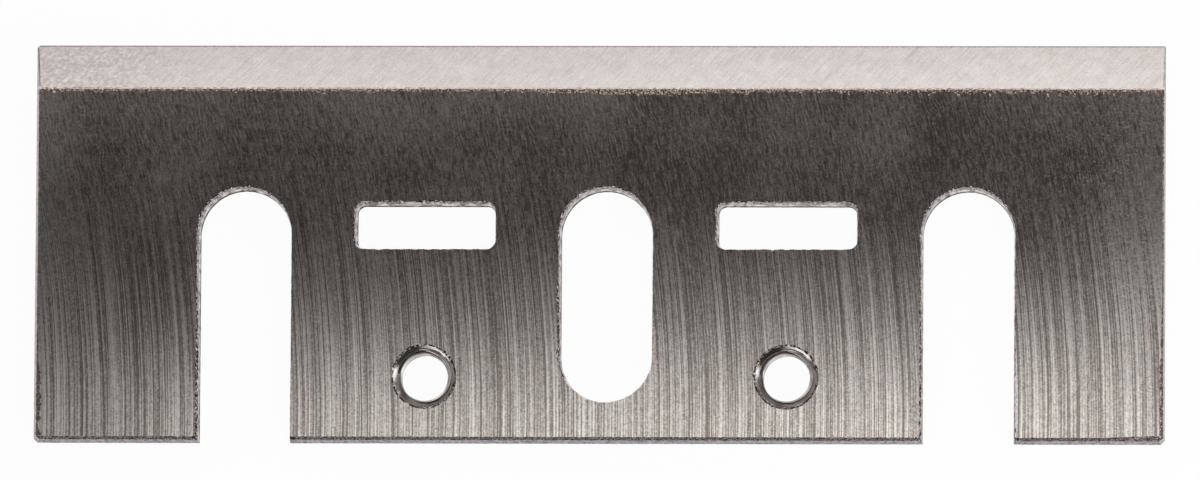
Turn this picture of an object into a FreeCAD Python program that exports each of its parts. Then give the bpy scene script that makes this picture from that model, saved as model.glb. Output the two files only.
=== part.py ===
import FreeCAD, Part

import math
import os

from FreeCAD import Vector

# Frame: x runs along the cutting edge, y towards it and z up from the flat back face, all in
# millimetres. The origin is on the back face, under the middle of the blade.

# Blank: a ground strip, sheared to length and bevelled along one side
blade_length = 82.0
blade_width = 29.0
blade_thickness = 3.0
bevel_angle = 41.0  # degrees, between the ground bevel and the back face
left_end_lean = 0.4  # the sheared left end stands out this much further at the back face
right_end_lean = 0.05
rear_edge_chamfer = 0.22
rear_corner_chamfer = 0.3
cutting_corner_break = 0.2

# Row of punched openings, sized on the back face, where the punch went in
row_shift = 0.6  # the row sits this far right of the middle of the blade
slot_pitch = 26.2  # from the middle of one clamp slot to the middle of the next
slot_width = 6.6
slot_reach = 18.3  # from the rear edge to the rounded head of every slot
closed_slot_bridge = 2.9  # steel left between the rear edge and the closed slot
window_length = 10.0
window_height = 3.2
window_corner = 0.6
window_reach = 17.2  # from the rear edge to the far side of both windows
burnished_height = 1.0  # straight part of a punched wall, up from the back face
breakout = 0.22  # how far the torn part of the wall opens out at the front face

# Tapped holes for M4 setting screws
tap_drill = 3.4
front_countersink = 4.7
back_countersink = 4.2
tapped_hole_reach = 4.6  # from the rear edge to the middle of both holes

# Worked out from the sizes above
overrun = 1.0  # every cutting tool reaches this far past the steel
rear_y = -blade_width / 2
cutting_y = blade_width / 2
heel_y = cutting_y - blade_thickness / math.tan(math.radians(bevel_angle))
left_x = -blade_length / 2
right_x = blade_length / 2
slot_middles = [row_shift - slot_pitch, row_shift, row_shift + slot_pitch]
between_slots = [row_shift - slot_pitch / 2, row_shift + slot_pitch / 2]


def prism(points, sweep):
    """A flat outline through these points, swept along a vector."""
    return Part.Face(Part.makePolygon(points + points[:1])).extrude(sweep)


def blank():
    """The bevelled section along the whole length, met by the shape of the two sheared ends."""
    section = [
        Vector(left_x, rear_y, 0),
        Vector(left_x, cutting_y, 0),
        Vector(left_x, heel_y, blade_thickness),
        Vector(left_x, rear_y + rear_edge_chamfer, blade_thickness),
        Vector(left_x, rear_y, blade_thickness - rear_edge_chamfer),
    ]
    sheared_ends = [
        Vector(left_x, rear_y, 0),
        Vector(right_x, rear_y, 0),
        Vector(right_x - right_end_lean, rear_y, blade_thickness),
        Vector(left_x + left_end_lean, rear_y, blade_thickness),
    ]
    bar = prism(section, Vector(blade_length, 0, 0))
    return bar.common(prism(sheared_ends, Vector(0, blade_width, 0)))


def break_corners(blade):
    """Chamfers both rear corners and takes the point off the left end of the cutting edge."""
    half = blade_thickness / 2
    rear_corners = [
        edge
        for edge in blade.Edges
        if edge.BoundBox.ZLength > half and edge.CenterOfMass.y < rear_y + rear_edge_chamfer / 2
    ]
    blade = blade.makeChamfer(rear_corner_chamfer, rear_corners)
    past = cutting_corner_break + overrun
    point = [
        Vector(left_x - overrun, cutting_y - past, -overrun),
        Vector(left_x + past, cutting_y + overrun, -overrun),
        Vector(left_x - overrun, cutting_y + overrun, -overrun),
    ]
    return blade.cut(prism(point, Vector(0, 0, blade_thickness + 2 * overrun)))


def rounded_outline(low, high, corner, height):
    """A rectangle with rounded corners at one height. Opposite corners may meet in a half circle."""
    middles = [
        (high.x - corner, high.y - corner),
        (low.x + corner, high.y - corner),
        (low.x + corner, low.y + corner),
        (high.x - corner, low.y + corner),
    ]
    corners = []
    for quarter, (x, y) in enumerate(middles):
        angles = [math.radians(90 * quarter + step) for step in (0, 45, 90)]
        corners.append([Vector(x + corner * math.cos(a), y + corner * math.sin(a), height) for a in angles])
    edges = []
    for turn, following in zip(corners, corners[1:] + corners[:1]):
        edges.append(Part.Arc(*turn).toShape())
        if turn[2].distanceToPoint(following[0]) > corner / 100:
            edges.append(Part.makeLine(turn[2], following[0]))
    return Part.Wire(edges)


def punched(low, high, corner):
    """What a punch takes out: a straight burnished hole at the back, torn wider towards the front."""

    def outline(growth, height):
        outwards = Vector(growth, growth, 0)
        return rounded_outline(low - outwards, high + outwards, corner + growth, height)

    tool_top = blade_thickness + overrun
    slope = breakout / (blade_thickness - burnished_height)
    widest = outline(slope * (tool_top - burnished_height), tool_top)
    burnished = Part.Face(outline(0, -overrun)).extrude(Vector(0, 0, overrun + burnished_height))
    torn = Part.makeLoft([outline(0, burnished_height), widest], True, True)
    return burnished.fuse(torn)


def clamp_slot(middle_x, foot_y):
    """A slot for a clamp bolt, with a half circle at its head and at its foot."""
    low = Vector(middle_x - slot_width / 2, foot_y, 0)
    high = Vector(middle_x + slot_width / 2, rear_y + slot_reach, 0)
    return punched(low, high, slot_width / 2)


def window(middle_x):
    """A small oblong opening between two slots."""
    far_y = rear_y + window_reach
    low = Vector(middle_x - window_length / 2, far_y - window_height, 0)
    high = Vector(middle_x + window_length / 2, far_y, 0)
    return punched(low, high, window_corner)


def tapped_hole(middle_x):
    """The tap drill with a 90 degree countersink on both faces: a profile turned about its axis."""
    drill = tap_drill / 2
    front = front_countersink / 2
    back = back_countersink / 2
    tool_top = blade_thickness + overrun
    profile = [
        Vector(0, 0, -overrun),
        Vector(back + overrun, 0, -overrun),
        Vector(drill, 0, back - drill),
        Vector(drill, 0, blade_thickness - (front - drill)),
        Vector(front + overrun, 0, tool_top),
        Vector(0, 0, tool_top),
    ]
    tool = Part.Face(Part.makePolygon(profile + profile[:1])).revolve(Vector(), Vector(0, 0, 1), 360)
    tool.translate(Vector(middle_x, rear_y + tapped_hole_reach, 0))
    return tool


def planer_knife():
    """The whole blade: the outer slots run out through the rear edge and the middle one is closed."""
    outside = rear_y - slot_width
    slot_feet = [outside, rear_y + closed_slot_bridge, outside]
    tools = [clamp_slot(middle_x, foot_y) for middle_x, foot_y in zip(slot_middles, slot_feet)]
    tools += [window(middle_x) for middle_x in between_slots]
    tools += [tapped_hole(middle_x) for middle_x in between_slots]
    return break_corners(blank()).cut(tools).removeSplitter()


def main():
    os.makedirs("parts", exist_ok=True)
    blade = planer_knife()
    blade.exportStep("parts/planer_knife.step")
    print(f"solids {len(blade.Solids)}, valid {blade.isValid()}, volume {blade.Volume:.1f} mm3")


main()
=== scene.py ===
import math

import bmesh
import bpy
from mathutils import Matrix, Vector, noise


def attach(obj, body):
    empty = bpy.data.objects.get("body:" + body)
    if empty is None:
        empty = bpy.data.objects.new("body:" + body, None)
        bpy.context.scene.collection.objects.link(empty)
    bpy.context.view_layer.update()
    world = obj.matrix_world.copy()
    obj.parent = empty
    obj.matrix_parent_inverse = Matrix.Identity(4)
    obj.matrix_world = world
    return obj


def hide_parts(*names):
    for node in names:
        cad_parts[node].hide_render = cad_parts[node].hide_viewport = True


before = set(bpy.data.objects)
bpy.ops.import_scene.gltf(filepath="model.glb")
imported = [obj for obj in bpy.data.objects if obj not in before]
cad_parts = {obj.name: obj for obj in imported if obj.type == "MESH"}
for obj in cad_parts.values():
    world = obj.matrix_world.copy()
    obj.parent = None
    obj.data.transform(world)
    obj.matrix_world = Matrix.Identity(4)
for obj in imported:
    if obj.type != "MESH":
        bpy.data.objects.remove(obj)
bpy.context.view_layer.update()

MM = 0.001

# Sizes of the knife, in mm: x along the cutting edge, y towards it, z up from the flat back face
LEFT_X = -41.0
RIGHT_X = 41.0
LEFT_LEAN = 0.4
RIGHT_LEAN = 0.05
REAR_Y = -14.5
CUTTING_Y = 14.5
FRONT_Z = 3.0
BEVEL_ANGLE = math.radians(41)
HEEL_Y = CUTTING_Y - FRONT_Z / math.tan(BEVEL_ANGLE)
REAR_CHAMFER = 0.22
REAR_CORNER = 0.3
CUTTING_CORNER = 0.2

# Punched openings on the back face: (low x, low y), (high x, high y), corner radius
OPENINGS = [
    ((-28.9, -21.1), (-22.3, 3.8), 3.3),
    ((-2.7, -11.6), (3.9, 3.8), 3.3),
    ((23.5, -21.1), (30.1, 3.8), 3.3),
    ((-17.5, -0.5), (-7.5, 2.7), 0.6),
    ((8.7, -0.5), (18.7, 2.7), 0.6),
]

# Zones of a punched wall, each from the one before up to this height, and how the torn part opens
BURNISHED_Z = 1.0
SMEARED_Z = 1.7
TORN_RIM_Z = 2.55
BREAKOUT_SLOPE = 0.06
LOWER_SMEAR = 0.45  # towards the rear the smeared zone ends this much lower
LOWER_TEAR = 0.9  # and the torn zone this much

# The punch: where it starts, its rows of points, and how far one of an open slot stands out behind
PUNCH_FOOT = -0.3
PUNCH_ROWS = [-0.12, 0.08, 0.25, 0.6, 0.95, 1.08, 1.25, 1.45, 1.65, 1.85]
PUNCH_ROWS += [2.05, 2.25, 2.42, 2.58, 2.72, 2.84, 2.94, 3.06, 3.3]
PUNCH_END_Y = REAR_Y - 0.8
SHAPED_FROM_Y = REAR_Y - 0.7

# Tapped holes, and the thread of an M4 screw
HOLE_MIDDLES = (-12.5, 13.7)
HOLE_Y = -9.9
FRONT_COUNTERSINK = 2.35
BACK_COUNTERSINK = 2.1
DRILL_RADIUS = 1.7
DRILL_ROW = 1.4  # a row of points halfway up the drilled wall
HOLE_REACH = 2.8  # a hole and its ragged rim lie within this radius
RAGGED_Z = 2.8
RAGGED_HEIGHT = 0.2
RIM_BAND = 0.1  # a hole's rim looks chipped this far down
ROUND_STEPS = 144
THREAD_PITCH = 0.7
THREAD_MAJOR_RADIUS = 2.0
THREAD_HALF_ANGLE = math.radians(30)
THREAD_STEPS = 40
THREAD_TURNS = 7
THREAD_START_Z = -1.0

# Wear and tear, in mm
EDGE_STEP = 0.1  # worn and torn edges are cut to pieces this long
TORN_DEPTH = 0.025
CHIP_DEPTH = 0.1
CHIP_HEIGHT = 0.35  # chips start this far below the front face
WHOLE_Z = 0.4  # up to this height the ends are whole
EDGE_BREAK = 0.09  # how far the heel and the edges of the ends are worn back on both sides
FRINGE = 0.55  # the strip of the front face beside the heel that holds the crumbled burr
FRINGE_CUTS = 4
BURR_MARGIN = 0.04  # the look of the burr reaches this much further than its shape

# How near counts as on an edge or a plane, and for a face's middle as on a plane
ON_EDGE = 0.002
ON_PLANE = 0.003
ON_FACE = 0.004
CUT_NEAR = 0.0001  # a plane that passes this near to a point cuts through it

LEVEL = 0.999  # a face whose normal's z is more than this is level
VERY_LEVEL = 0.9995


# Mesh of the knife


def rough(x, y, z, size, seed):
    """Smooth noise from -1 to 1 with bumps of that size, in mm."""
    return noise.noise(Vector((x, y, z)) / size + Vector((seed, -seed, 2 * seed)))


def fade(value, start, end):
    """0 up to the start, 1 from the end on, and evenly rising between them."""
    return min(max((value - start) / (end - start), 0), 1)


def bevel(bm, geom, offset, segments, affect="EDGES"):
    bmesh.ops.bevel(
        bm,
        geom=geom,
        offset=offset,
        offset_type="OFFSET",
        segments=segments,
        profile=0.5,
        affect=affect,
        material=-1,
    )


def of_type(parts, kind):
    """The points, edges or faces among the parts that an operator returned."""
    return [part for part in parts if isinstance(part, kind)]


def lies_on(edge, **places):
    """Whether both ends of an edge are at these places, such as y=1.5, z=3."""
    return all(
        abs(getattr(point.co, axis) - place) < ON_EDGE
        for point in edge.verts
        for axis, place in places.items()
    )


def ground_strip():
    """The bar before anything is punched in it: its section swept between leaning ends."""
    section = [(REAR_Y, 0), (CUTTING_Y, 0), (HEEL_Y, FRONT_Z)]
    section += [(REAR_Y + REAR_CHAMFER, FRONT_Z), (REAR_Y, FRONT_Z - REAR_CHAMFER)]
    bm = bmesh.new()
    end = bm.faces.new([bm.verts.new((LEFT_X, y, z)) for y, z in section])
    made = bmesh.ops.extrude_face_region(bm, geom=[end])["geom"]
    far_end = of_type(made, bmesh.types.BMVert)
    bmesh.ops.translate(bm, vec=(RIGHT_X - LEFT_X, 0, 0), verts=far_end)
    for point in bm.verts:
        point.co.x += (LEFT_LEAN if point.co.x < 0 else -RIGHT_LEAN) * point.co.z / FRONT_Z
    bmesh.ops.recalc_face_normals(bm, faces=bm.faces)
    rear_corners = [
        edge
        for edge in bm.edges
        if lies_on(edge, y=REAR_Y)
        and abs(edge.verts[0].co.z - edge.verts[1].co.z) > FRONT_Z / 2
    ]
    bevel(bm, rear_corners, REAR_CORNER, segments=1)
    cut = bmesh.ops.bisect_plane(
        bm,
        geom=[*bm.faces, *bm.edges, *bm.verts],
        dist=CUT_NEAR,
        plane_co=(LEFT_X + CUTTING_CORNER, CUTTING_Y, 0),
        plane_no=(-1, 1, 0),
        clear_outer=True,
    )["geom_cut"]
    bmesh.ops.edgeloop_fill(bm, edges=of_type(cut, bmesh.types.BMEdge))
    bmesh.ops.recalc_face_normals(bm, faces=bm.faces)
    return bm


def as_object(bm, name):
    mesh = bpy.data.meshes.new(name)
    bm.to_mesh(mesh)
    bm.free()
    made = bpy.data.objects.new(name, mesh)
    bpy.context.scene.collection.objects.link(made)
    return made


def cut_finer(bm, edges):
    """Splits edges to pieces of about one step."""
    for edge in list(edges):
        cuts = round(edge.calc_length() / EDGE_STEP) - 1
        if cuts > 0:
            bmesh.ops.bisect_edges(bm, edges=[edge], cuts=cuts, edge_percents={})


def bridge_finer(bm, first, second):
    """Fills the gap between two straight edges with small quads, and returns the points cut."""
    cuts = round(first.calc_length() / EDGE_STEP) - 1
    split = bmesh.ops.bisect_edges(bm, edges=[first, second], cuts=cuts, edge_percents={})
    split = split["geom_split"]
    chain = [edge for edge in bm.edges if edge.is_boundary and set(edge.verts) & set(split)]
    bmesh.ops.bridge_loops(bm, edges=chain)
    return of_type(split, bmesh.types.BMVert)


def open_fringe(bm):
    """Cuts the front face beside the heel into rows of small quads, for the burr to crumble."""
    foot = HEEL_Y - FRINGE
    front = [face for face in bm.faces if face.normal.z > LEVEL]
    around = [*front]
    around += {edge for face in front for edge in face.edges}
    around += {point for face in front for point in face.verts}
    bmesh.ops.bisect_plane(
        bm, geom=around, dist=CUT_NEAR, plane_co=(0, foot, 0), plane_no=(0, 1, 0)
    )
    strip = [
        face
        for face in bm.faces
        if face.normal.z > LEVEL and face.calc_center_median().y > foot
    ]
    bmesh.ops.delete(bm, geom=strip, context="FACES_ONLY")
    sides = [
        next(edge for edge in bm.edges if edge.is_boundary and lies_on(edge, y=y, z=FRONT_Z))
        for y in (HEEL_Y, foot)
    ]
    bridge_finer(bm, *sides)
    rungs = []
    for edge in bm.edges:
        first, second = (point.co for point in edge.verts)
        spans = abs(first.y - second.y) > FRINGE / 2
        centred = abs(first.y + second.y - HEEL_Y - foot) < 0.001
        if spans and centred and lies_on(edge, z=FRONT_Z):
            rungs.append(edge)
    bmesh.ops.subdivide_edges(bm, edges=rungs, cuts=FRINGE_CUTS, use_grid_fill=True)


def end_gap(point):
    """How far a point lies inside the plane of the nearer sheared end."""
    x, _, z = point
    if x < 0:
        return x - LEFT_X - LEFT_LEAN * z / FRONT_Z
    return RIGHT_X - RIGHT_LEAN * z / FRONT_Z - x


def bevel_gap(point):
    """How far below the plane of the ground bevel a point lies."""
    return (CUTTING_Y - point.y) * math.tan(BEVEL_ANGLE) - point.z


def at_end_front(edge):
    """Whether an edge runs between a sheared end and the front face or the bevel."""
    first, second = (point.co for point in edge.verts)
    if first.x * second.x < 0 or max(abs(end_gap(first)), abs(end_gap(second))) > ON_PLANE:
        return False
    on_bevel = max(abs(bevel_gap(first)), abs(bevel_gap(second))) < ON_PLANE
    return on_bevel or lies_on(edge, z=FRONT_Z)


def burr_width(x):
    """How far the burr reaches into the front face: most just right of the middle."""
    hump = math.exp(-(((x - 3.0) / 6.5) ** 2))
    trend = 0.14 + 0.25 * hump
    side = min(max(x / 20, -1), 1)
    wander = 0.12 * rough(x, 0, 0, size=1.6, seed=5) + 0.2 * rough(x, 0, 0, size=0.3, seed=6)
    return trend + (0.6 + 0.15 * side) * wander


def speck(x, y):
    """Above 0 where a speck is torn out beside the burr: more of them at the right."""
    side = min(max((x - 5) / 20, -1), 1)
    spread = 1.3 * rough(x, y, 0, size=0.16, seed=71)
    return spread + 0.14 * side - 0.12 - 0.85 * (HEEL_Y - y) / FRINGE


def end_wear(x, y):
    """How far the front edge of an end is broken away: most at its rear corner."""
    if x > 0:
        return 0.03 + 0.17 * fade(y, -4, -9)
    return 0.03 + 0.29 * fade(y, -8.5, -10.5)


def break_end(point):
    """Breaks a point of an end's front edge away, unevenly."""
    x, y, z = point.co
    gap = end_gap(point.co)
    if gap <= ON_PLANE or z <= WHOLE_Z:
        return
    share = 0.75 + 0.6 * rough(x, y, 0, size=0.6, seed=61)
    share += 0.6 * rough(x, y, 0, size=0.17, seed=67)
    broken = end_wear(x, y) * max(min(share, 1.5), 0) * min(gap / EDGE_BREAK, 1)
    point.co.x += math.copysign(broken, -x)
    if z < FRONT_Z - ON_EDGE or y > HEEL_Y:
        point.co.z -= 0.3 * broken


def unsteady_heel(point):
    """Moves a point of the heel a little along the bevel."""
    x = point.co.x
    along = 0.03 * rough(x, 0, 0, size=0.9, seed=3) + 0.02 * rough(x, 0, 0, size=0.2, seed=13)
    point.co.y += along
    point.co.z -= along * math.tan(BEVEL_ANGLE)


def crumble_burr(point):
    """Sinks and scatters a point inside the burr, and sinks one at a speck beside it."""
    x, y, z = point.co
    depth = burr_width(x) - (HEEL_Y - y)
    if depth > 0:
        lump = rough(x, y, z, size=0.17, seed=17) + 0.7 * rough(x, y, z, size=0.11, seed=18)
        point.co.z -= 0.12 * max(0.3 + lump, 0) * min(depth / 0.1, 1)
        point.co.x += 0.03 * rough(x, y, z, size=0.1, seed=21)
        point.co.y += 0.03 * rough(x, y, z, size=0.1, seed=22)
    elif speck(x, y) > 0:
        point.co.z -= 0.07 * min(speck(x, y) / 0.15, 1)


def wear_edges(bm):
    """Breaks the heel and the front edges of both ends, and crumbles the burr beside the heel."""
    open_fringe(bm)
    cut_finer(bm, [edge for edge in bm.edges if at_end_front(edge)])
    worn = [
        edge for edge in bm.edges if lies_on(edge, y=HEEL_Y, z=FRONT_Z) or at_end_front(edge)
    ]
    bevel(bm, worn, EDGE_BREAK, segments=3)
    for point in bm.verts:
        point.co.z = max(point.co.z, 0)
        _, y, z = point.co
        before_bevel = y < HEEL_Y + 2 * EDGE_BREAK
        if end_gap(point.co) < 1.6 * EDGE_BREAK:
            break_end(point)
        elif abs(bevel_gap(point.co)) < ON_PLANE and before_bevel:
            unsteady_heel(point)
        elif z > FRONT_Z - 2 * EDGE_BREAK and HEEL_Y - FRINGE + 0.01 < y and before_bevel:
            crumble_burr(point)


def fray_rear(bm):
    """The rear chamfer as a strip of small quads with an uneven upper edge."""
    foot = REAR_Y + REAR_CHAMFER
    chamfers = [
        face
        for face in bm.faces
        if face.normal.y < -0.5 < 0.5 < face.normal.z and face.calc_center_median().y < foot
    ]
    bmesh.ops.delete(bm, geom=chamfers, context="FACES_ONLY")
    open_edges = [edge for edge in bm.edges if edge.is_boundary and edge.calc_length() > 1]
    for point in bridge_finer(bm, *open_edges):
        x, _, z = point.co
        if z > FRONT_Z - 0.01:
            point.co.y += 0.04 * rough(x, 0, 0, size=0.35, seed=19)
            point.co.y += 0.05 * max(rough(x, 0, 0, size=0.18, seed=23), 0)
            point.co.y += 0.12 * fade(x, 36.5, 39.5)
        else:
            point.co.z += 0.02 * rough(x, 0, 0, size=0.3, seed=29)
    bmesh.ops.holes_fill(bm, edges=[edge for edge in bm.edges if edge.is_boundary])


def outline_distance(opening, x, y):
    """How far a point lies outside an opening's outline, and the way straight off it."""
    (low_x, low_y), (high_x, high_y), corner = opening
    side_x = x - (low_x + high_x) / 2
    side_y = y - (low_y + high_y) / 2
    over_x = abs(side_x) - (high_x - low_x) / 2 + corner
    over_y = abs(side_y) - (high_y - low_y) / 2 + corner
    way = Vector((math.copysign(max(over_x, 0), side_x), math.copysign(max(over_y, 0), side_y)))
    if way.length > 1e-9:
        return way.length - corner, way.normalized()
    way = Vector((side_x, 0)) if over_x > over_y else Vector((0, side_y))
    return max(over_x, over_y) - corner, way.normalized()


def wall_stand(x, y, z):
    """How far a punched wall stands back from the punch's outline at a point of its height."""
    if z < BURNISHED_Z:
        rolled_in = max(0.25 - z, 0) ** 2
        return rolled_in + 0.004 * rough(x, y, z / 6, size=0.2, seed=31)
    torn = min((z - BURNISHED_Z) / 0.3, 1)
    tear = rough(x, y, z / 2, size=0.35, seed=37) + 0.6 * rough(x, y, z / 1.5, size=0.14, seed=41)
    stand = BREAKOUT_SLOPE * (z - BURNISHED_Z) + max(TORN_DEPTH + TORN_DEPTH * tear, 0) * torn
    chip = max(z - FRONT_Z + CHIP_HEIGHT, 0) / CHIP_HEIGHT
    crumbled = rough(x, y, 0, size=0.5, seed=43) + 0.6 * rough(x, y, 0, size=0.2, seed=47) + 0.1
    return stand + CHIP_DEPTH * min(chip, 1.2) ** 1.5 * max(crumbled, 0)


def punch(opening):
    """A closed tool with the torn shape of one punched opening."""
    (low_x, low_y), (high_x, high_y), corner = opening
    open_end = low_y < REAR_Y
    foot_y = PUNCH_END_Y if open_end else low_y
    outline = [(low_x, foot_y), (high_x, foot_y), (high_x, high_y), (low_x, high_y)]
    bm = bmesh.new()
    corners = [bm.verts.new((x, y, PUNCH_FOOT)) for x, y in outline]
    bm.faces.new(corners)
    bevel(
        bm,
        corners[2:] if open_end else corners,
        corner,
        segments=max(6, round(corner * math.pi / 2 / EDGE_STEP)),
        affect="VERTICES",
    )
    bmesh.ops.remove_doubles(bm, verts=bm.verts, dist=0.01)
    cut_finer(bm, bm.edges)
    height = PUNCH_FOOT
    top = list(bm.faces)
    for row in PUNCH_ROWS:
        made = bmesh.ops.extrude_face_region(bm, geom=top)["geom"]
        if row != PUNCH_ROWS[0]:
            bmesh.ops.delete(bm, geom=top, context="FACES_ONLY")
        top = of_type(made, bmesh.types.BMFace)
        raised = of_type(made, bmesh.types.BMVert)
        bmesh.ops.translate(bm, vec=(0, 0, row - height), verts=raised)
        height = row
    for point in bm.verts:
        x, y, z = point.co
        if y > SHAPED_FROM_Y:
            past, way = outline_distance(opening, x, y)
            point.co.xy += way * (wall_stand(x, y, z) - past)
    bmesh.ops.recalc_face_normals(bm, faces=bm.faces)
    return bm


def countersinks(middle_x):
    """A closed tool with the shape of a setting hole before its thread: drill and countersinks."""
    profile = [(0, -0.4), (BACK_COUNTERSINK + 0.4, -0.4), (DRILL_RADIUS, 0.4)]
    profile += [(DRILL_RADIUS, DRILL_ROW)]
    profile += [(DRILL_RADIUS, FRONT_Z - FRONT_COUNTERSINK + DRILL_RADIUS)]
    profile += [
        (FRONT_COUNTERSINK - low, FRONT_Z - low) for low in (0.4, 0.25, 0.12, 0.05, -0.05, -0.4)
    ]
    profile += [(0, FRONT_Z + 0.4)]
    bm = bmesh.new()
    points = [bm.verts.new((middle_x + r, HOLE_Y, z)) for r, z in profile]
    edges = [bm.edges.new(pair) for pair in zip(points, points[1:])]
    bmesh.ops.spin(
        bm,
        geom=points + edges,
        cent=(middle_x, HOLE_Y, 0),
        axis=(0, 0, 1),
        angle=2 * math.pi,
        steps=ROUND_STEPS,
        use_merge=True,
    )
    bmesh.ops.remove_doubles(bm, verts=bm.verts, dist=0.001)
    for point in bm.verts:
        x, y, z = point.co
        way = Vector((x - middle_x, y - HOLE_Y))
        if z > RAGGED_Z and way.length > DRILL_RADIUS:
            ragged = 0.09 * rough(x, y, 0, size=0.45, seed=53)
            ragged += 0.12 * rough(x, y, 0, size=0.17, seed=59)
            share = min(1, (z - RAGGED_Z) / RAGGED_HEIGHT)
            point.co.xy += way.normalized() * max(0, ragged) * share
    bmesh.ops.recalc_face_normals(bm, faces=bm.faces)
    return bm


def tap(middle_x):
    """The helical ridge of an M4 tap: one tooth's section, spun up along the hole's axis."""
    root = DRILL_RADIUS - 0.1
    tip = THREAD_PITCH / 16
    foot = tip + (THREAD_MAJOR_RADIUS - root) * math.tan(THREAD_HALF_ANGLE)
    section = [(root, -foot), (THREAD_MAJOR_RADIUS, -tip), (THREAD_MAJOR_RADIUS, tip), (root, foot)]
    bm = bmesh.new()
    tooth = [bm.verts.new((middle_x + x, HOLE_Y, THREAD_START_Z + z)) for x, z in section]
    face = bm.faces.new(tooth)
    bmesh.ops.spin(
        bm,
        geom=[face, *face.edges, *face.verts],
        cent=(middle_x, HOLE_Y, 0),
        axis=(0, 0, 1),
        dvec=(0, 0, THREAD_PITCH / THREAD_STEPS),
        angle=2 * math.pi * THREAD_TURNS,
        steps=THREAD_TURNS * THREAD_STEPS,
        use_merge=False,
        use_duplicate=False,
    )
    bmesh.ops.recalc_face_normals(bm, faces=bm.faces)
    return bm


def one_tool(parts, name):
    """Several closed tools as one object."""
    joined = bmesh.new()
    for part in parts:
        mesh = bpy.data.meshes.new(name)
        part.to_mesh(mesh)
        part.free()
        joined.from_mesh(mesh)
        bpy.data.meshes.remove(mesh)
    return as_object(joined, name)


def cut_with(blank, tools):
    """Cuts closed tools out of an object, and removes them."""
    for tool in tools:
        cut = blank.modifiers.new(tool.name, "BOOLEAN")
        cut.operation = "DIFFERENCE"
        cut.solver = "EXACT"
        cut.object = tool
    depsgraph = bpy.context.evaluated_depsgraph_get()
    evaluated = blank.evaluated_get(depsgraph)
    finished = bpy.data.meshes.new_from_object(evaluated, depsgraph=depsgraph)
    blank.modifiers.clear()
    blank.data = finished
    for tool in tools:
        bpy.data.objects.remove(tool)


# Which finish goes where


def end_finish(x, y, gap):
    """The finish of the broken front edge of an end, that far inside the end's plane."""
    if y > HEEL_Y:
        battered = x < 0 and gap > EDGE_BREAK / 2
    elif x > 0 and y > -2:
        return "crumbled_tool_steel"
    else:
        battered = gap > EDGE_BREAK / 4
    return "battered_tool_steel" if battered else "sheared_tool_steel"


def wall_finish(y, z):
    """The finish of a punched wall."""
    rear = fade(y, -2, -8)
    if z < BURNISHED_Z:
        return "burnished_painted_dark_tool_steel"
    if z < SMEARED_Z - LOWER_SMEAR * rear:
        return "smeared_tool_steel"
    return "torn_tool_steel" if z < TORN_RIM_Z - LOWER_TEAR * rear else "chipped_tool_steel"


def finish_of(face):
    """The finish of a face of the cut blade, from its place and slope."""
    middle = face.calc_center_median()
    x, y, z = middle
    normal = face.normal
    from_hole = min(math.hypot(x - hole_x, y - HOLE_Y) for hole_x in HOLE_MIDDLES)
    if from_hole < HOLE_REACH and abs(normal.z) < 0.99:
        if z > FRONT_Z - RIM_BAND:
            return "chipped_tool_steel"
        return "countersunk_tool_steel" if 0.5 < abs(normal.z) < 0.85 else "tapped_tool_steel"
    near_heel = HEEL_Y - burr_width(x) - BURR_MARGIN < y < HEEL_Y + 2 * EDGE_BREAK
    if near_heel and z > FRONT_Z - 2 * EDGE_BREAK:
        if abs(bevel_gap(middle)) < ON_FACE:
            return "finely_ground_tool_steel"
        return "worn_tool_steel" if y > HEEL_Y - EDGE_BREAK / 2 else "crumbled_tool_steel"
    if HEEL_Y - FRINGE < y < HEEL_Y and z > FRONT_Z - EDGE_BREAK:
        if speck(x, y) > 0 or normal.z < 0.98:
            return "crumbled_tool_steel"
    if normal.z < -VERY_LEVEL:
        return "surface_ground_tool_steel"
    gap = end_gap(middle)
    below_front = z < FRONT_Z - ON_FACE and bevel_gap(middle) > ON_FACE
    if 0.005 < gap < 6 * EDGE_BREAK and normal.z > 0.1 and below_front:
        return end_finish(x, y, gap)
    if normal.z > VERY_LEVEL or normal.z > 0.9 and y < HEEL_Y:
        return "surface_ground_tool_steel"
    if normal.y > 0.5:
        return "finely_ground_tool_steel"
    from_outline = min(abs(outline_distance(opening, x, y)[0]) for opening in OPENINGS)
    if from_outline < 0.5 and y > REAR_Y + ON_EDGE:
        return wall_finish(y, z)
    if normal.y < -0.3 and normal.z > 0.3:
        return "chamfered_tool_steel"
    if normal.y < -0.9:
        return "edge_ground_tool_steel"
    return "sheared_tool_steel"


# Finishes. The whole knife is one tool steel, and each finish is one way its surface was made.

# Finishes of flat faces, which are shaded flat
FLAT = (
    "surface_ground_tool_steel",
    "finely_ground_tool_steel",
    "edge_ground_tool_steel",
    "sheared_tool_steel",
    "chamfered_tool_steel",
)

# The wheel left the same arc over and over along the blade: its radius, and where it runs
# straight up
ARC_RADIUS = 90.0
ARC_Y = -13.0

# Places on the front face that hands have rubbed brighter: x, y in mm, and by how much
RUBBED = [(41.0, -1.5, 0.33), (-40.5, -4.0, 0.22), (41.0, 10.0, 0.16), (-40.5, 10.0, 0.12)]


def linear(hex_colour, alpha=1.0):
    """An sRGB hex colour as the linear colour that a socket takes."""
    parts = [int(hex_colour[i : i + 2], 16) / 255 for i in (1, 3, 5)]
    return (*(c / 12.92 if c <= 0.04045 else ((c + 0.055) / 1.055) ** 2.4 for c in parts), alpha)


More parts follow.
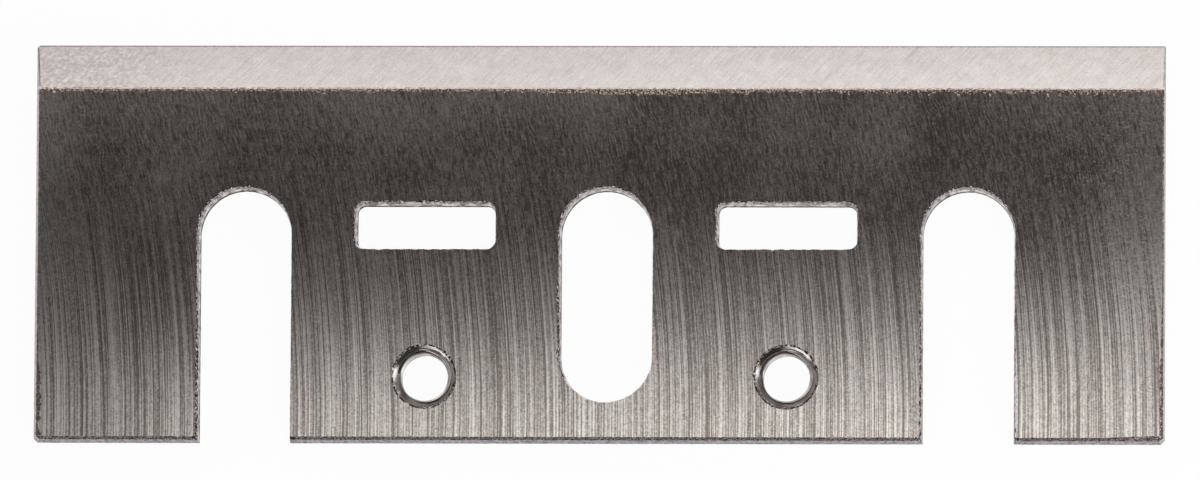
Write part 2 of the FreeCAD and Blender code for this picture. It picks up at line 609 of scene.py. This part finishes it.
def add(tree, kind, inputs, **settings):
    """Adds a node with its settings, and with a value or another node's output on each input."""
    node = tree.nodes.new("ShaderNode" + kind)
    for name, value in settings.items():
        setattr(node, name, value)
    for name, value in inputs.items():
        if isinstance(name, str):
            sockets = (socket for socket in node.inputs if socket.enabled)
            socket = next(socket for socket in sockets if socket.name == name)
        else:
            socket = node.inputs[name]
        if isinstance(value, bpy.types.Node):
            value = next(output for output in value.outputs if output.enabled)
        if isinstance(value, bpy.types.NodeSocket):
            tree.links.new(value, socket)
        else:
            socket.default_value = value
    return node


def new_finish(name):
    finish = bpy.data.materials.new(name)
    finish.use_nodes = True
    finish.node_tree.nodes.clear()
    return finish, finish.node_tree


def bare_steel(tree, colour, height, relief, roughness, **more):
    """Closes a finish of bare steel: its shader, and a bump of that relief in mm."""
    bump = add(tree, "Bump", {"Height": height, "Distance": relief * MM, "Strength": 1.0})
    inputs = {"Base Color": colour, "Roughness": roughness, "Metallic": 1.0, "Normal": bump}
    shader = add(tree, "BsdfPrincipled", {**inputs, **more})
    add(tree, "OutputMaterial", {"Surface": shader})


def place_in_mm(tree):
    place = add(tree, "TexCoord", {}).outputs["Object"]
    return add(tree, "VectorMath", {0: place, "Scale": 1 / MM}, operation="SCALE")


def drawn_out(tree, across, along, width, length, seed, detail=1.0):
    """Noise drawn out into marks of that width and length, in mm."""
    wide = add(tree, "Math", {0: across, 1: width}, operation="DIVIDE")
    long = add(tree, "Math", {0: along, 1: length}, operation="DIVIDE")
    stretched = add(tree, "CombineXYZ", {"X": wide, "Y": long, "Z": seed})
    return add(tree, "TexNoise", {"Vector": stretched, "Scale": 1.0, "Detail": detail})


def patches(tree, place, size, seed, detail=1.0):
    """Noise in rounded patches of that size, in mm."""
    moved = add(tree, "VectorMath", {0: place, 1: (seed, -seed, seed)}, operation="ADD")
    return add(tree, "TexNoise", {"Vector": moved, "Scale": 1 / size, "Detail": detail})


def add_up(tree, parts, total=0.0):
    """Adds patterns to a total, each times its share."""
    for pattern, share in parts:
        total = add(tree, "Math", {0: pattern, 1: share, 2: total}, operation="MULTIPLY_ADD")
    return total


def balanced(tree, parts):
    """Adds up noise patterns, each times its weight, so that the sum swings about 0."""
    return add_up(tree, parts, -sum(weight for _, weight in parts) / 2)


def wheel_arcs(tree, place, parts):
    """How far across the wheel's arcs a point lies, in mm, and the direction across them."""
    rise = add(tree, "Math", {0: parts["Y"], 1: ARC_Y}, operation="SUBTRACT")
    bend = add(tree, "Math", {0: rise, 1: rise}, operation="MULTIPLY")
    across = add_up(tree, [(bend, 0.5 / ARC_RADIUS)], parts["X"])
    across = add_up(tree, [(patches(tree, place, size=4.0, seed=3.0), 0.08)], across)
    lean = add(tree, "Math", {0: rise, 1: ARC_RADIUS}, operation="DIVIDE")
    return across, add(tree, "CombineXYZ", {"X": 1.0, "Y": lean})


def wheel_marks(tree, place, parts, across, rear):
    """Light and dark of the wheel's marks, about 0: slanting dashes, and long lines at the rear.
    Real grit leaves lines 0.02 to 0.05 mm apart, too fine to show, so they are drawn coarser."""
    up = parts["Y"]
    bent = add_up(tree, [(patches(tree, place, size=1.2, seed=2.0), 0.5)], across)
    dash = drawn_out(tree, bent, up, width=0.13, length=1.0, seed=1.0, detail=2.0)
    line = drawn_out(tree, across, up, width=0.08, length=20.0, seed=2.5)
    band = drawn_out(tree, across, up, width=0.3, length=14.0, seed=3.0)
    cloud = patches(tree, place, size=5.0, seed=4.0, detail=0.0)
    grain = patches(tree, place, size=0.13, seed=5.0)
    dashes = balanced(tree, [(dash, 2.2), (line, 0.5), (cloud, 0.7), (grain, 1.3)])
    lines = balanced(tree, [(line, 3.2), (band, 0.3), (dash, 0.7), (grain, 1.3)])
    marks = add(tree, "Mix", {"Factor": rear, "A": dashes, "B": lines}, data_type="FLOAT")
    scored = drawn_out(tree, across, up, width=0.1, length=26.0, seed=9.5)
    scored = add(
        tree,
        "MapRange",
        {"Value": scored, "From Min": 0.3, "From Max": 0.42, "To Min": -0.4, "To Max": 0.04},
    )
    return add_up(tree, [(scored, rear)], marks)


def handling_and_painted_shade(tree, place, parts, rear):
    """What use and hands did to the front face, and painted shade that darkens its right half, most
    towards the bevel: lighter and darker patterns and their shares.
    """
    fleck = patches(tree, place, size=0.17, seed=8.0)
    fleck = add(tree, "MapRange", {"Value": fleck, "From Min": 0.6, "From Max": 0.7})
    fewer = add(tree, "MapRange", {"Value": rear, "To Min": 1.0, "To Max": 0.1})
    fleck = add(tree, "Math", {0: fleck, 1: fewer}, operation="MULTIPLY")
    flecked = add(
        tree,
        "MapRange",
        {"Value": parts["X"], "From Min": 30.0, "From Max": 40.0, "To Min": 0.35, "To Max": 1.1},
    )
    from_middle = add(tree, "Math", {0: parts["X"]}, operation="ABSOLUTE")
    ends = add(
        tree,
        "MapRange",
        {"Value": from_middle, "From Min": 36.0, "From Max": 41.0, "To Min": 0.0, "To Max": 0.3},
    )
    corner = add(
        tree,
        "MapRange",
        {"Value": parts["X"], "From Min": 33.0, "From Max": 40.0, "To Min": 0.0, "To Max": -0.3},
    )
    rearmost = add(tree, "MapRange", {"Value": parts["Y"], "From Min": -2.0, "From Max": -10.0})
    from_belt = add(tree, "Math", {0: parts["Y"], 1: 3.0}, operation="SUBTRACT")
    from_belt = add(tree, "Math", {0: from_belt}, operation="ABSOLUTE")
    belt = add(
        tree,
        "MapRange",
        {"Value": from_belt, "From Min": 2.0, "From Max": 6.0, "To Min": -0.09, "To Max": 0.0},
    )
    # Painted shade: the right half is made darker, most towards the bevel
    right_half = add(tree, "MapRange", {"Value": parts["X"], "From Min": -2.0, "From Max": 14.0})
    painted_shade = add(tree, "MapRange", {"Value": rear, "To Min": -0.18, "To Max": -0.02})
    speckle = patches(tree, place, size=0.16, seed=12.0)
    speckle = add(
        tree,
        "MapRange",
        {"Value": speckle, "From Min": 0.42, "From Max": 0.68, "To Min": 0.2, "To Max": 2.6},
    )
    shares = [(fleck, flecked), (ends, 1.0)]
    for x, y, most in RUBBED:
        away = add(tree, "VectorMath", {0: place, 1: (x, y, FRONT_Z)}, operation="DISTANCE")
        rubbed = add(
            tree,
            "MapRange",
            {"Value": away, "From Min": 7.0, "From Max": 1.0, "To Min": 0.0, "To Max": most},
        )
        shares.append((speckle, rubbed))
    return shares + [(corner, rearmost), (belt, 1.0), (right_half, painted_shade)]


def surface_ground_tool_steel():
    """Tool steel, surface ground by a cup wheel whose grit left the same shallow arc over and over:
    long straight lines at the rear, dark and light, and short slanting dashes towards the bevel.
    The grooves run up the blade, so a reflection is sharp along them and wide across them. The
    ends and corners are rubbed brighter, the strip beside the heel is a little browner, and
    painted shade darkens the right half, most towards the bevel."""
    finish, tree = new_finish("surface_ground_tool_steel")
    place = place_in_mm(tree)
    parts = add(tree, "SeparateXYZ", {0: place}).outputs
    across, direction_across = wheel_arcs(tree, place, parts)
    rear = add(tree, "MapRange", {"Value": parts["Y"], "From Min": 6.0, "From Max": -5.0})
    marks = wheel_marks(tree, place, parts, across, rear)
    # From here the marks also carry the painted shade of the right half
    marks = add_up(tree, handling_and_painted_shade(tree, place, parts, rear), marks)
    tone = add(tree, "MapRange", {"Value": marks, "From Min": -0.5, "From Max": 0.5})
    hue = drawn_out(tree, across, parts["Y"], width=0.08, length=1.5, seed=6.0)
    tint = add(tree, "MapRange", {"Value": hue, "From Min": 0.35, "From Max": 0.65})
    light = {"Factor": tint, "A": linear("#e6e1e1"), "B": linear("#ece3d8")}
    light = add(tree, "Mix", light, data_type="RGBA")
    colour = {"Factor": tone, "A": linear("#8a817a"), "B": light}
    colour = add(tree, "Mix", colour, data_type="RGBA")
    bright = add(tree, "MapRange", {"Value": marks, "From Min": 0.5, "From Max": 1.2})
    colour = {"Factor": bright, "A": colour, "B": linear("#fff7f0")}
    colour = add(tree, "Mix", colour, data_type="RGBA")
    browner = {"Factor": tone, "A": linear("#957c76"), "B": linear("#f0d6ce")}
    browner = add(tree, "Mix", browner, data_type="RGBA")
    beside_heel = {"Value": parts["Y"], "From Min": HEEL_Y - 0.6, "From Max": HEEL_Y - 0.2}
    beside_heel = add(tree, "MapRange", beside_heel)
    colour = {"Factor": beside_heel, "A": colour, "B": browner}
    colour = add(tree, "Mix", colour, data_type="RGBA")
    grooves = {"Anisotropic": 0.8, "Tangent": direction_across}
    bare_steel(tree, colour, tone, relief=0.003, roughness=0.29, **grooves)
    return finish


def finely_ground_tool_steel():
    """Tool steel, ground on the bevel by a finer wheel: an even light satin with fine slanting
    scratches, drawn coarser than the real ones so that they show. It is a little lighter towards
    the heel, pitted at the left, and has a dull line along the cutting edge."""
    finish, tree = new_finish("finely_ground_tool_steel")
    place = place_in_mm(tree)
    parts = add(tree, "SeparateXYZ", {0: place}).outputs
    turned = add(tree, "Mapping", {"Vector": place, "Rotation": (0, 0, math.radians(-50))})
    turned = add(tree, "SeparateXYZ", {0: turned}).outputs
    scratch = drawn_out(tree, turned["Y"], turned["X"], width=0.08, length=2.4, seed=1.0)
    cloud = patches(tree, place, size=1.0, seed=5.0, detail=2.0)
    grain = patches(tree, place, size=0.15, seed=6.0)
    marks = balanced(tree, [(scratch, 0.7), (cloud, 0.5), (grain, 0.8)])
    towards_heel = add(
        tree,
        "MapRange",
        {"Value": parts["Z"], "From Min": 0.0, "From Max": 3.0, "To Min": -0.12, "To Max": 0.12},
    )
    pits = patches(tree, place, size=0.3, seed=8.0, detail=2.0)
    pits = add(
        tree,
        "MapRange",
        {"Value": pits, "From Min": 0.35, "From Max": 0.65, "To Min": -0.6, "To Max": 0.1},
    )
    pitted = add(tree, "MapRange", {"Value": parts["X"], "From Min": -27.0, "From Max": -39.0})
    scored = drawn_out(tree, turned["Y"], turned["X"], width=0.08, length=3.0, seed=9.0)
    scored = add(
        tree,
        "MapRange",
        {"Value": scored, "From Min": 0.25, "From Max": 0.38, "To Min": -0.5, "To Max": 0.0},
    )
    marks = add_up(tree, [(towards_heel, 1.0), (pits, pitted), (scored, 1.0)], marks)
    tone = add(tree, "MapRange", {"Value": marks, "From Min": -0.5, "From Max": 0.5})
    satin = {"Factor": tone, "A": linear("#c0b7b3"), "B": linear("#ece5e1")}
    satin = add(tree, "Mix", satin, data_type="RGBA")
    ragged = add_up(tree, [(grain, 0.08)], parts["Z"])
    edge = add(tree, "MapRange", {"Value": ragged, "From Min": 0.08, "From Max": 0.14})
    colour = {"Factor": edge, "A": linear("#8d7f7f"), "B": satin}
    colour = add(tree, "Mix", colour, data_type="RGBA")
    bare_steel(tree, colour, marks, relief=0.004, roughness=0.42)
    return finish


def patchy_steel(name, low, high, size, roughness, relief):
    """Tool steel whose tone changes in patches of that size, in mm."""
    finish, tree = new_finish(name)
    cloud = patches(tree, place_in_mm(tree), size=size, seed=7.0, detail=3.0)
    cloud = add(tree, "MapRange", {"Value": cloud, "From Min": 0.3, "From Max": 0.7})
    colour = {"Factor": cloud, "A": linear(low), "B": linear(high)}
    colour = add(tree, "Mix", colour, data_type="RGBA")
    bare_steel(tree, colour, cloud, relief, roughness)
    return finish


def grainy_steel(name, low, high, size, share, roughness, relief, upright=1.0, blur=0.06):
    """Tool steel in bright grains, with gaps between them that stay dark from every side. The
    grains are that many times as tall as they are wide, and shade off into the gaps over the
    blur. The gaps fill that share of the noise."""
    finish, tree = new_finish(name)
    place = place_in_mm(tree)
    place = add(tree, "VectorMath", {0: place, 1: (1, 1, 1 / upright)}, operation="MULTIPLY")
    grains = patches(tree, place, size=size, seed=9.0, detail=2.0)
    bright = {"Value": grains, "From Min": share - blur, "From Max": share + blur}
    bright = add(tree, "MapRange", bright)
    colour = {"Factor": bright, "A": linear(low), "B": linear(high)}
    colour = add(tree, "Mix", colour, data_type="RGBA")
    gaps = {"Metallic": bright, "Specular IOR Level": 0.0}
    bare_steel(tree, colour, grains, relief, roughness, **gaps)
    return finish


def turned_steel(name, roughness):
    """Tool steel cut by a turning tool: fine rings around both setting holes."""
    finish, tree = new_finish(name)
    parts = add(tree, "SeparateXYZ", {0: place_in_mm(tree)}).outputs
    between = sum(HOLE_MIDDLES) / 2
    from_middle = add(tree, "Math", {0: parts["X"], 1: between}, operation="SUBTRACT")
    either_side = add(tree, "Math", {0: from_middle}, operation="ABSOLUTE")
    to_hole = HOLE_MIDDLES[1] - between
    side_x = add(tree, "Math", {0: either_side, 1: to_hole}, operation="SUBTRACT")
    side_y = add(tree, "Math", {0: parts["Y"], 1: HOLE_Y}, operation="SUBTRACT")
    from_axis = add(tree, "CombineXYZ", {"X": side_x, "Y": side_y})
    radius = add(tree, "VectorMath", {0: from_axis}, operation="LENGTH")
    turned = add(tree, "Math", {0: side_y, 1: side_x}, operation="ARCTAN2")
    rings = drawn_out(tree, radius, turned, width=0.1, length=0.8, seed=8.0, detail=2.0)
    tone = add(tree, "MapRange", {"Value": rings, "From Min": 0.3, "From Max": 0.7})
    colour = {"Factor": tone, "A": linear("#6a6664"), "B": linear("#ccc8c5")}
    colour = add(tree, "Mix", colour, data_type="RGBA")
    bare_steel(tree, colour, rings, relief=0.002, roughness=roughness)
    return finish


def knife_finishes():
    """Every finish of the knife's tool steel, with what it gives the eye."""
    return [
        surface_ground_tool_steel(),
        finely_ground_tool_steel(),
        # The heel, worn round by use: a thin, warm and very pale line
        patchy_steel(
            "worn_tool_steel",
            low="#dac9bf", high="#fff0e6", size=0.3, roughness=0.5, relief=0.004,
        ),
        # The burr that the wheel pushed over the heel, crumbled off: bright specks on brown
        grainy_steel(
            "crumbled_tool_steel",
            low="#4a3d37", high="#d2c2b6", size=0.13, share=0.53, roughness=0.5, relief=0.01,
            blur=0.09,
        ),
        # The punched wall where the steel tore away: tall bluish streaks of torn steel, light and
        # dark, the dark ones also a painted dark reflection
        grainy_steel(
            "torn_tool_steel",
            low="#6c6970", high="#cbc7d2", size=0.18, share=0.5, roughness=0.4, relief=0.02,
            upright=9, blur=0.2,
        ),
        # The rims of the openings and holes, chipped out: bright grains in nearly black gaps
        grainy_steel(
            "chipped_tool_steel",
            low="#2b2624", high="#dcd2ca", size=0.17, share=0.58, roughness=0.35, relief=0.02,
            upright=2, blur=0.08,
        ),
        # The punched wall that the punch rubbed smooth: an even band at the back, whose dark colour
        # is a painted dark reflection
        grainy_steel(
            "burnished_painted_dark_tool_steel",
            low="#37302d", high="#8a827b", size=0.4, share=0.6, roughness=0.4, relief=0.004,
            upright=2, blur=0.1,
        ),
        # The steel that the punch dragged up over the tear: a smooth, warm and pale band
        grainy_steel(
            "smeared_tool_steel",
            low="#7c7168", high="#e0d6ca", size=0.5, share=0.46, roughness=0.3, relief=0.004,
            upright=3, blur=0.2,
        ),
        # The rear chamfer, ground coarsely: a dark line with fine light grains
        grainy_steel(
            "chamfered_tool_steel",
            low="#413937", high="#948c88", size=0.12, share=0.52, roughness=0.45, relief=0.01,
        ),
        # The rear edge, ground upright: soft grey, streaked from back to front
        grainy_steel(
            "edge_ground_tool_steel",
            low="#6c686c", high="#b4b0b8", size=0.2, share=0.52, roughness=0.4, relief=0.004,
            upright=4, blur=0.25,
        ),
        # The front edges of both ends, battered in handling: dark, with a few light grains
        grainy_steel(
            "battered_tool_steel",
            low="#554b47", high="#b4aca6", size=0.13, share=0.58, roughness=0.4, relief=0.01,
        ),
        # The two ends, sheared to length: light grey, streaked the way the shear went
        grainy_steel(
            "sheared_tool_steel",
            low="#968c8a", high="#d2c9c6", size=0.25, share=0.48, roughness=0.4, relief=0.006,
            upright=3, blur=0.25,
        ),
        # The countersinks, freshly cut: the sharpest reflections on the knife
        turned_steel("countersunk_tool_steel", roughness=0.12),
        # The thread, cut by the tap: bright crests that are a little softer
        turned_steel("tapped_tool_steel", roughness=0.2),
    ]


def knife_blade():
    """The whole knife as one closed mesh, in metres, with a finish on every face."""
    blank = ground_strip()
    wear_edges(blank)
    fray_rear(blank)
    blade = as_object(blank, "knife_blade")
    tools = [punch(opening) for opening in OPENINGS] + [countersinks(x) for x in HOLE_MIDDLES]
    punches = one_tool(tools, "punches")
    taps = one_tool([tap(x) for x in HOLE_MIDDLES], "taps")
    cut_with(blade, [punches, taps])
    finishes = knife_finishes()
    order = [finish.name for finish in finishes]
    blade.data.materials.clear()
    for finish in finishes:
        blade.data.materials.append(finish)
    skin = bmesh.new()
    skin.from_mesh(blade.data)
    bmesh.ops.holes_fill(skin, edges=[edge for edge in skin.edges if edge.is_boundary])
    for face in skin.faces:
        face.normal_update()
        face.material_index = order.index(finish_of(face))
    bmesh.ops.scale(skin, vec=(MM, MM, MM), verts=skin.verts)
    skin.to_mesh(blade.data)
    skin.free()
    blade.data.set_sharp_from_angle(angle=math.radians(50))
    for face in blade.data.polygons:
        face.use_smooth = order[face.material_index] not in FLAT
    return blade


blade = knife_blade()
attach(blade, "root")
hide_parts("planer_knife")


# Studio, in mm and degrees. A level of 1 is white.

FLOOR_DROP = 0.02  # keeps the floor clear of the back face
PAPER_GLOW = 0.96
WALL_LEVEL = 0.93
CEILING_LEVEL = 0.02
CEILING_START = 0.5
CEILING_END = 0.8

# Panels on the walls around the knife: heading, half width, and brightness times the wall's
PANELS = [(308, 40, 0.06), (166, 40, 0.06), (354, 19, 3.6), (234, 26, 2.9)]
PANEL_BLUR = 0.12

floor_mesh = bmesh.new()
bmesh.ops.create_grid(floor_mesh, x_segments=1, y_segments=1, size=2.0)
floor = as_object(floor_mesh, "floor")
floor.location.z = -FLOOR_DROP * MM


def white_paper():
    """Matt white paper, pressed smooth: it shows as white from the camera and in the metal, and
    keeps the knife's shadow."""
    finish, tree = new_finish("pressed_white_paper")
    rays = add(tree, "LightPath", {}).outputs
    seen = {0: rays["Is Camera Ray"], 1: rays["Is Glossy Ray"]}
    seen = add(tree, "Math", seen, operation="MAXIMUM")
    seen = add(tree, "Math", {0: seen, 1: rays["Is Transmission Ray"]}, operation="MAXIMUM")
    share = add(tree, "Math", {0: seen, 1: PAPER_GLOW}, operation="MULTIPLY")
    paper = add(tree, "BsdfDiffuse", {"Color": linear("#fafafa")})
    glow = add(tree, "Emission", {"Color": (1, 1, 1, 1), "Strength": 1.0})
    mixed = add(tree, "MixShader", {0: share, 1: paper, 2: glow})
    add(tree, "OutputMaterial", {"Surface": mixed})
    return finish


floor.data.materials.append(white_paper())


def softbox(name, place, target, width, depth, level, turn=0.0):
    """A rectangular soft light that faces its target and looks that bright in a mirror."""
    lamp = bpy.data.lights.new(name, "AREA")
    lamp.shape = "RECTANGLE"
    lamp.size = width * MM
    lamp.size_y = depth * MM
    lamp.energy = level * width * depth * MM * MM * math.pi
    made = bpy.data.objects.new(name, lamp)
    facing = (Vector(target) - Vector(place)).to_track_quat("-Z", "Y").to_matrix().to_4x4()
    turned = Matrix.Rotation(math.radians(turn), 4, "Z")
    made.matrix_world = Matrix.Translation(Vector(place) * MM) @ facing @ turned
    made.visible_camera = False
    bpy.context.scene.collection.objects.link(made)


softbox("overhead", (114, -97, 82), (114, -97, 0), width=300, depth=200, level=1.2, turn=2)
softbox("side_card", (115, 130, 60), (115, 0, 60), width=220, depth=120, level=0.25)
softbox("far_strip", (-65, 80, 82), (-65, 80, 0), width=300, depth=100, level=0.6)


def studio_walls():
    """Pale walls with dark and bright panels, which the metal reflects, and a dark ceiling."""
    world = bpy.data.worlds.new("studio")
    world.use_nodes = True
    tree = world.node_tree
    tree.nodes.clear()
    direction = add(tree, "TexCoord", {}).outputs["Generated"]
    lying = add(tree, "VectorMath", {0: direction, 1: (1, 1, 2.5)}, operation="MULTIPLY")
    lying = add(tree, "VectorMath", {0: lying}, operation="NORMALIZE")
    walls = WALL_LEVEL
    for heading, reach, level in PANELS:
        towards = (math.cos(math.radians(heading)), math.sin(math.radians(heading)), 0)
        near = add(tree, "VectorMath", {0: lying, 1: towards}, operation="DOT_PRODUCT")
        edge = math.cos(math.radians(reach))
        blur = PANEL_BLUR * math.sin(math.radians(reach))
        panel = {"Value": near, "From Min": edge - blur, "From Max": edge + blur}
        panel = add(tree, "MapRange", {**panel, "To Min": 1.0, "To Max": level})
        walls = add(tree, "Math", {0: panel, 1: walls}, operation="MULTIPLY")
    height = add(tree, "SeparateXYZ", {0: direction}).outputs["Z"]
    # The overhead box stands in front of the rear wall, so the ceiling comes down lower there
    rear_height = {0: direction, 1: (0, -0.35, 1)}
    rear_height = add(tree, "VectorMath", rear_height, operation="DOT_PRODUCT")
    height = add(tree, "Math", {0: height, 1: rear_height}, operation="MAXIMUM")
    ceiling = {"Value": height, "From Min": CEILING_START, "From Max": CEILING_END}
    ceiling = add(tree, "MapRange", ceiling)
    around = {"Factor": ceiling, "A": walls, "B": CEILING_LEVEL}
    around = add(tree, "Mix", around, data_type="FLOAT")
    background = add(tree, "Background", {"Color": (1, 1, 1, 1), "Strength": around})
    add(tree, "OutputWorld", {"Surface": background})
    return world


bpy.context.scene.world = studio_walls()
bpy.context.scene.view_settings.view_transform = "Standard"


# Camera, in mm: it looks down on the knife from far off, so that the sides hardly taper

CAMERA_DISTANCE = 1200.0
VIEW_WIDTH = 86.76
SENSOR_WIDTH = 36.0
TOWARDS_CAMERA = Vector((0.05201, -0.10464, 0.99314))
AIM = Vector((0.189, 0.025, 3.0))
ROLL = math.radians(0.077)

camera_data = bpy.data.cameras.new("camera")
camera_data.sensor_width = SENSOR_WIDTH
camera_data.lens = SENSOR_WIDTH * CAMERA_DISTANCE / VIEW_WIDTH
camera_data.clip_end = 10.0
camera = bpy.data.objects.new("camera", camera_data)
up = Vector((0, TOWARDS_CAMERA.z, -TOWARDS_CAMERA.y)).normalized()
right = up.cross(TOWARDS_CAMERA)
turn = Matrix((right, up, TOWARDS_CAMERA)).transposed() @ Matrix.Rotation(ROLL, 3, "Z")
stand = (AIM + TOWARDS_CAMERA * CAMERA_DISTANCE) * MM
camera.matrix_world = Matrix.Translation(stand) @ turn.to_4x4()
bpy.context.scene.collection.objects.link(camera)
bpy.context.scene.camera = camera
